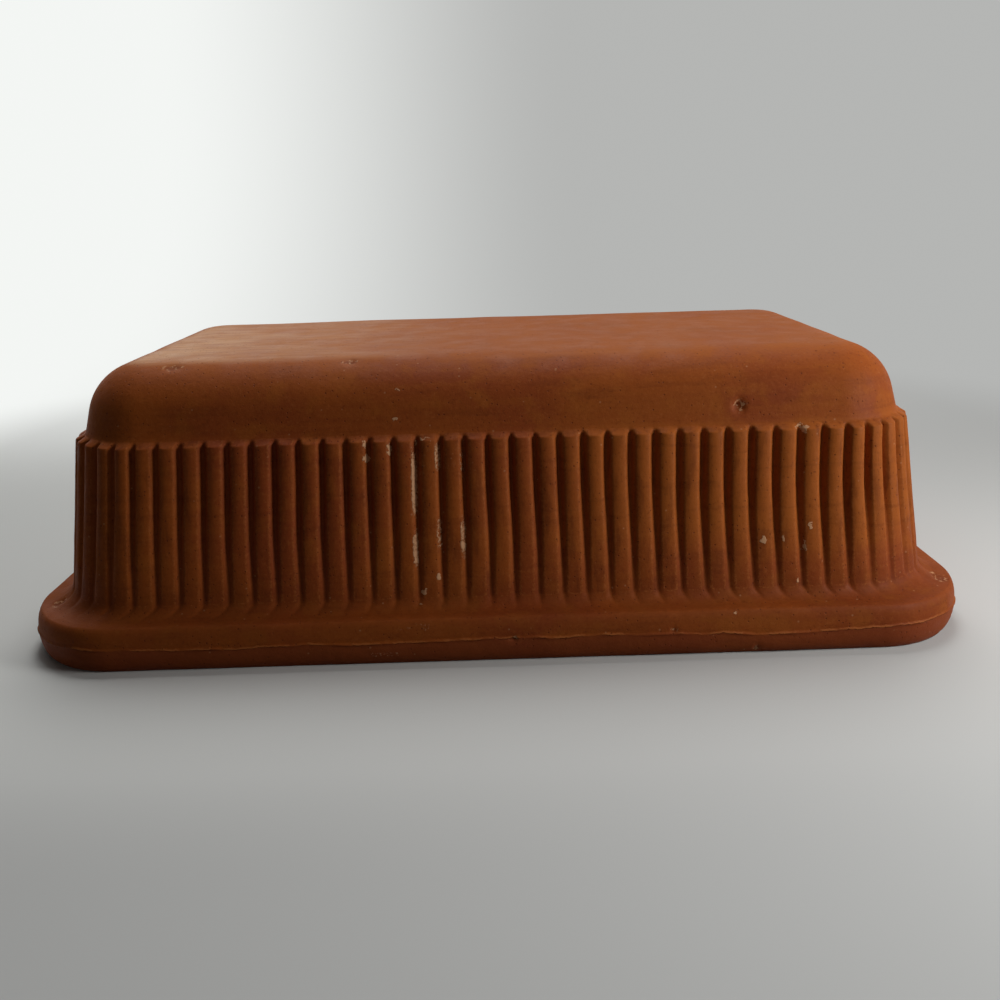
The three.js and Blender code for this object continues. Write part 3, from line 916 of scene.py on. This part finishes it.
channel = times(ramp(mask("flank"), 0.15, -0.35), ramp(crest, 0.96, 0.78))
streaked = times(strongest(0.0, STREAKS), channel)
covered = strongest(maths("MAXIMUM", splashed, times(streaked, 0.85)), HAZES)
grains = clouds(place, 1.0, detail=5.0, roughness=0.75)
coarse = times(maths("SUBTRACT", grains, 0.5), 2.4)
lime = times(ramp(maths("ADD", covered, coarse), 0.35, 0.75), ramp(covered, 0.05, 0.35))
colour = tint(times(lime, 0.8), colour, LIME)
print(len(STREAKS), "streaks and", len(HAZES), "hazes")

# %% [markdown]
# ## Grain and gloss
# Unglazed clay is matt, with a faint sheen at a low angle where hands have polished it. A bump from fine
# grain, soft dimples, pores and the crust of lime gives the surface its bite. The base is rubbed smoother
# than the wall. Real displacement would carry the grain too, but it is far finer than the mesh.

# %% Bump, roughness and the shader
BUMP_STRENGTH, BUMP_DEPTH = 0.55, 0.3
SHEEN_LEVEL = 0.12
CLAY_IOR = 1.45
grain = clouds(place, 0.5, detail=4.0, roughness=0.7)
dimples = clouds(place, 3.5, detail=3.0)
height = maths("ADD", times(grain, 0.3), times(dimples, 0.9))
height = maths("SUBTRACT", height, times(pores, 0.5))
height = maths("ADD", height, times(lime, 0.8))
height = maths("ADD", height, times(maths("SUBTRACT", painted_lip_highlight, painted_crease_shadow), 0.5))
bump = node("Bump", {"Strength": BUMP_STRENGTH, "Distance": BUMP_DEPTH / METRE, "Height": height})
polish = times(mask("dust_sheen"), 0.1)
roughness = maths("SUBTRACT", ramp(patches, 0.3, 0.7, low=0.52, high=0.68), polish)
shader = node(
    "BsdfPrincipled",
    {
        "Base Color": colour,
        "Roughness": roughness,
        "Normal": bump.outputs["Normal"],
        "IOR": CLAY_IOR,
        "Specular IOR Level": SHEEN_LEVEL,
    },
)
node("OutputMaterial", {"Surface": shader.outputs["BSDF"]})
mesh.materials.append(clay)
print(len(tree.nodes), "nodes in the clay")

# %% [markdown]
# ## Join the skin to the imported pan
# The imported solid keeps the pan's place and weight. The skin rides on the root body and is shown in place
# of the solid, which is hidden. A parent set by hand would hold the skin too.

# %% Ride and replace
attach(pan, "root")
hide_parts("pan_body")
print(pan.name, "stands for pan_body")

# %% [markdown]
# ## Studio
# A pale floor sweeps up into a backdrop, so no horizon shows. It is a section carried along x: flat floor, a
# quarter circle, and an upright wall. It lies a hair below the rim, so that two flats don't share one plane.
# A plain plane would do for the floor, but would end in a line behind the pan.

# %% Floor and backdrop
FLOOR_FRONT, SWEEP_START, SWEEP_RADIUS, WALL_TOP, HALF_WIDTH = -1.3, 0.45, 0.3, 1.4, 1.7
FLOOR_DROP = 0.0001
SWEEP_STEPS = 24
turn = np.linspace(0, math.pi / 2, SWEEP_STEPS)
sweep_end = SWEEP_START + SWEEP_RADIUS
sweep_y = np.concatenate([[FLOOR_FRONT], SWEEP_START + SWEEP_RADIUS * np.sin(turn), [sweep_end]])
sweep_z = np.concatenate([[0.0], SWEEP_RADIUS * (1 - np.cos(turn)), [WALL_TOP]]) - FLOOR_DROP
left = np.stack([np.full_like(sweep_y, -HALF_WIDTH), sweep_y, sweep_z], axis=-1)
right = left * [-1, 1, 1]
rungs = np.arange(len(sweep_y) - 1)
quads = np.stack([rungs, rungs + len(sweep_y), rungs + len(sweep_y) + 1, rungs + 1], axis=-1)
sweep = bpy.data.meshes.new("studio_sweep")
sweep.from_pydata(np.concatenate([left, right]).tolist(), [], quads.tolist())
sweep.shade_smooth()
studio = bpy.data.objects.new("studio_sweep", sweep)
bpy.context.scene.collection.objects.link(studio)
print(len(quads), "quads in the sweep")

# %% [markdown]
# ## Paper
# The paper is pale where the eye sees it, straight or in a reflection, and throws less light back on to the
# pan than it shows, so that the grooves keep their shade. It is painted a little darker to the right and
# towards the eye, a painted shade on the floor. Behind the pan and far from it the paper turns into an even
# glow, brighter at the back left, as light from a window would make it. Stronger lamps could make the paper
# pale, but would flood the pan as well.

# %% Paper of the floor and backdrop
PAPER_LEFT = (0.85, 0.86, 0.83, 1)
PAPER_RIGHT = (0.64, 0.64, 0.62, 1)
PAPER_FRONT = (0.61, 0.615, 0.6, 1)
PAPER_BOUNCE = (0.2, 0.2, 0.195, 1)
BACKDROP_LEFT = (0.9, 0.92, 0.9, 1)
BACKDROP_RIGHT = (0.46, 0.465, 0.455, 1)
PAPER_ACROSS = (-0.16, 0.12)
PAPER_FORWARD = (-0.09, -0.16)
WINDOW_NEAR, WINDOW_FAR, WINDOW_BACK = (0.1, -0.35), (-1.2, -0.5), (0.0, 0.2)
GLOW_BEHIND, GLOW_AWAY = (0.05, 0.42), (0.25, 0.45)


def seen_rays():
    """1 for rays that reach the eye, straight, in a reflection or through glass, and 0 for other light."""
    rays = node("LightPath", {}).outputs
    mirrored = maths("MAXIMUM", rays["Is Glossy Ray"], rays["Is Transmission Ray"])
    return maths("MAXIMUM", rays["Is Camera Ray"], mirrored)


paper = bpy.data.materials.new("studio_paper")
paper.use_nodes = True
tree = paper.node_tree
tree.nodes.clear()
seen = seen_rays()
paper_place = node("TexCoord", {}).outputs["Object"]
where = node("SeparateXYZ", {"Vector": paper_place}).outputs
away = node("VectorMath", {"Vector": paper_place}, operation="LENGTH").outputs["Value"]
# Painted shade: the paper as seen darkens to the right and towards the eye.
shown = tint(ramp(where["X"], *PAPER_ACROSS), PAPER_LEFT, PAPER_RIGHT)
shown = tint(ramp(where["Y"], *PAPER_FORWARD), shown, PAPER_FRONT)
floor_paper = node("BsdfDiffuse", {"Color": tint(seen, PAPER_BOUNCE, shown)})
window = times(ramp(where["X"], *WINDOW_NEAR), ramp(where["X"], *WINDOW_FAR))
window = times(window, ramp(where["Y"], *WINDOW_BACK))
glow = node("Emission", {"Color": tint(window, BACKDROP_RIGHT, BACKDROP_LEFT), "Strength": 1.0})
glowing = maths("MAXIMUM", ramp(where["Y"], *GLOW_BEHIND), ramp(away, *GLOW_AWAY))
surface = node("MixShader", {"Fac": times(glowing, seen)})
feed(surface.inputs[1], floor_paper.outputs["BSDF"])
feed(surface.inputs[2], glow.outputs["Emission"])
node("OutputMaterial", {"Surface": surface.outputs["Shader"]})
sweep.materials.append(paper)
print(len(tree.nodes), "nodes in the paper")

# %% [markdown]
# ## Light
# Most light falls from two broad softboxes above and behind, the weaker one further left, so the base is the
# brightest face. A small lamp low and near on the right rakes along the reeds, and a weak panel in front
# keeps the shadows open. A sun would light every reed alike, while a near lamp fades along the wall.

# %% Lamps
LIT_PLACE = np.array([0.0, 0.0, 0.03])
# Each lamp has a place and a side in metres, and a power in watts.
LAMPS = {
    "overhead": ((0.05, 0.45, 1.0), 0.6, 5.7),
    "overhead_left": ((-0.4, 0.45, 1.0), 0.6, 0.9),
    "right_lamp": ((0.30, -0.17, 0.16), 0.12, 0.54),
    "front_fill": ((0.0, -0.9, 0.5), 0.5, 0.11),
}


def facing(direction):
    """Rotation whose z axis points along `direction`, with its x axis level."""
    z = direction / np.linalg.norm(direction)
    x = np.cross([0.0, 0.0, 1.0], z)
    x = x / np.linalg.norm(x)
    y = np.cross(z, x)
    return Matrix(np.stack([x, y, z], axis=1).tolist()).to_4x4()


def softbox(name, position, side, watts):
    """A square area lamp that faces the pan."""
    data = bpy.data.lights.new(name, "AREA")
    data.size = side
    data.energy = watts
    lamp = bpy.data.objects.new(name, data)
    bpy.context.scene.collection.objects.link(lamp)
    lamp.matrix_world = Matrix.Translation(position) @ facing(np.array(position) - LIT_PLACE)
    lamp.visible_camera = False


for name, (position, side, watts) in LAMPS.items():
    softbox(name, position, side, watts)
    print(f"{name}: {watts} W, {side} m wide")

# %% [markdown]
# ## Air
# Past the edges of the paper the eye sees the air of the studio. It is given the backdrop's grey, so that the
# edges don't show from the sides, and it gives the pan hardly any light. A sweep carried right round the pan
# would have no edges, but would need corners.

# %% Air of the studio
AIR_LIGHT = 0.022
AIR_SEEN = 1 - AIR_LIGHT
world = bpy.data.worlds.new("studio_air")
world.use_nodes = True
tree = world.node_tree
tree.nodes.clear()
strength = maths("ADD", times(seen_rays(), AIR_SEEN), AIR_LIGHT)
air = node("Background", {"Color": BACKDROP_RIGHT, "Strength": strength})
node("OutputWorld", {"Surface": air.outputs["Background"]})
bpy.context.scene.world = world
bpy.context.scene.view_settings.view_transform = "Standard"
print(len(tree.nodes), "nodes in the air")

# %% [markdown]
# ## Camera
# The camera was close, about 30 cm from the middle of the pan, a little above it and tilted slightly. Its
# place, its turn and its focal length come from fitting the pan's outline in the picture. A Track To
# constraint could aim it, but could not tilt it.

# %% Camera
CAMERA_PLACE = np.array([0.000291, -0.297291, 0.118945])
CAMERA_YAW, CAMERA_PITCH, CAMERA_ROLL = np.radians([0.309, 18.126, -1.668])
PICTURE_SIDE = 1000.0
FOCAL_PIXELS = 905.2
SENSOR = 36.0

ahead = np.array([
    math.sin(CAMERA_YAW) * math.cos(CAMERA_PITCH),
    math.cos(CAMERA_YAW) * math.cos(CAMERA_PITCH),
    -math.sin(CAMERA_PITCH),
])
level = np.array([math.cos(CAMERA_YAW), -math.sin(CAMERA_YAW), 0.0])
upright = np.cross(level, ahead)
camera_x = math.cos(CAMERA_ROLL) * level + math.sin(CAMERA_ROLL) * upright
camera_y = math.cos(CAMERA_ROLL) * upright - math.sin(CAMERA_ROLL) * level
turned = Matrix(np.stack([camera_x, camera_y, -ahead], axis=1).tolist()).to_4x4()
lens = bpy.data.cameras.new("camera")
lens.sensor_width = SENSOR
lens.lens = FOCAL_PIXELS / PICTURE_SIDE * SENSOR
lens.clip_start = 0.01
camera = bpy.data.objects.new("camera", lens)
camera.matrix_world = Matrix.Translation(CAMERA_PLACE.tolist()) @ turned
bpy.context.scene.collection.objects.link(camera)
bpy.context.scene.camera = camera
print(f"camera {np.linalg.norm(CAMERA_PLACE):.2f} m from the middle of the rim, lens {lens.lens:.1f} mm")
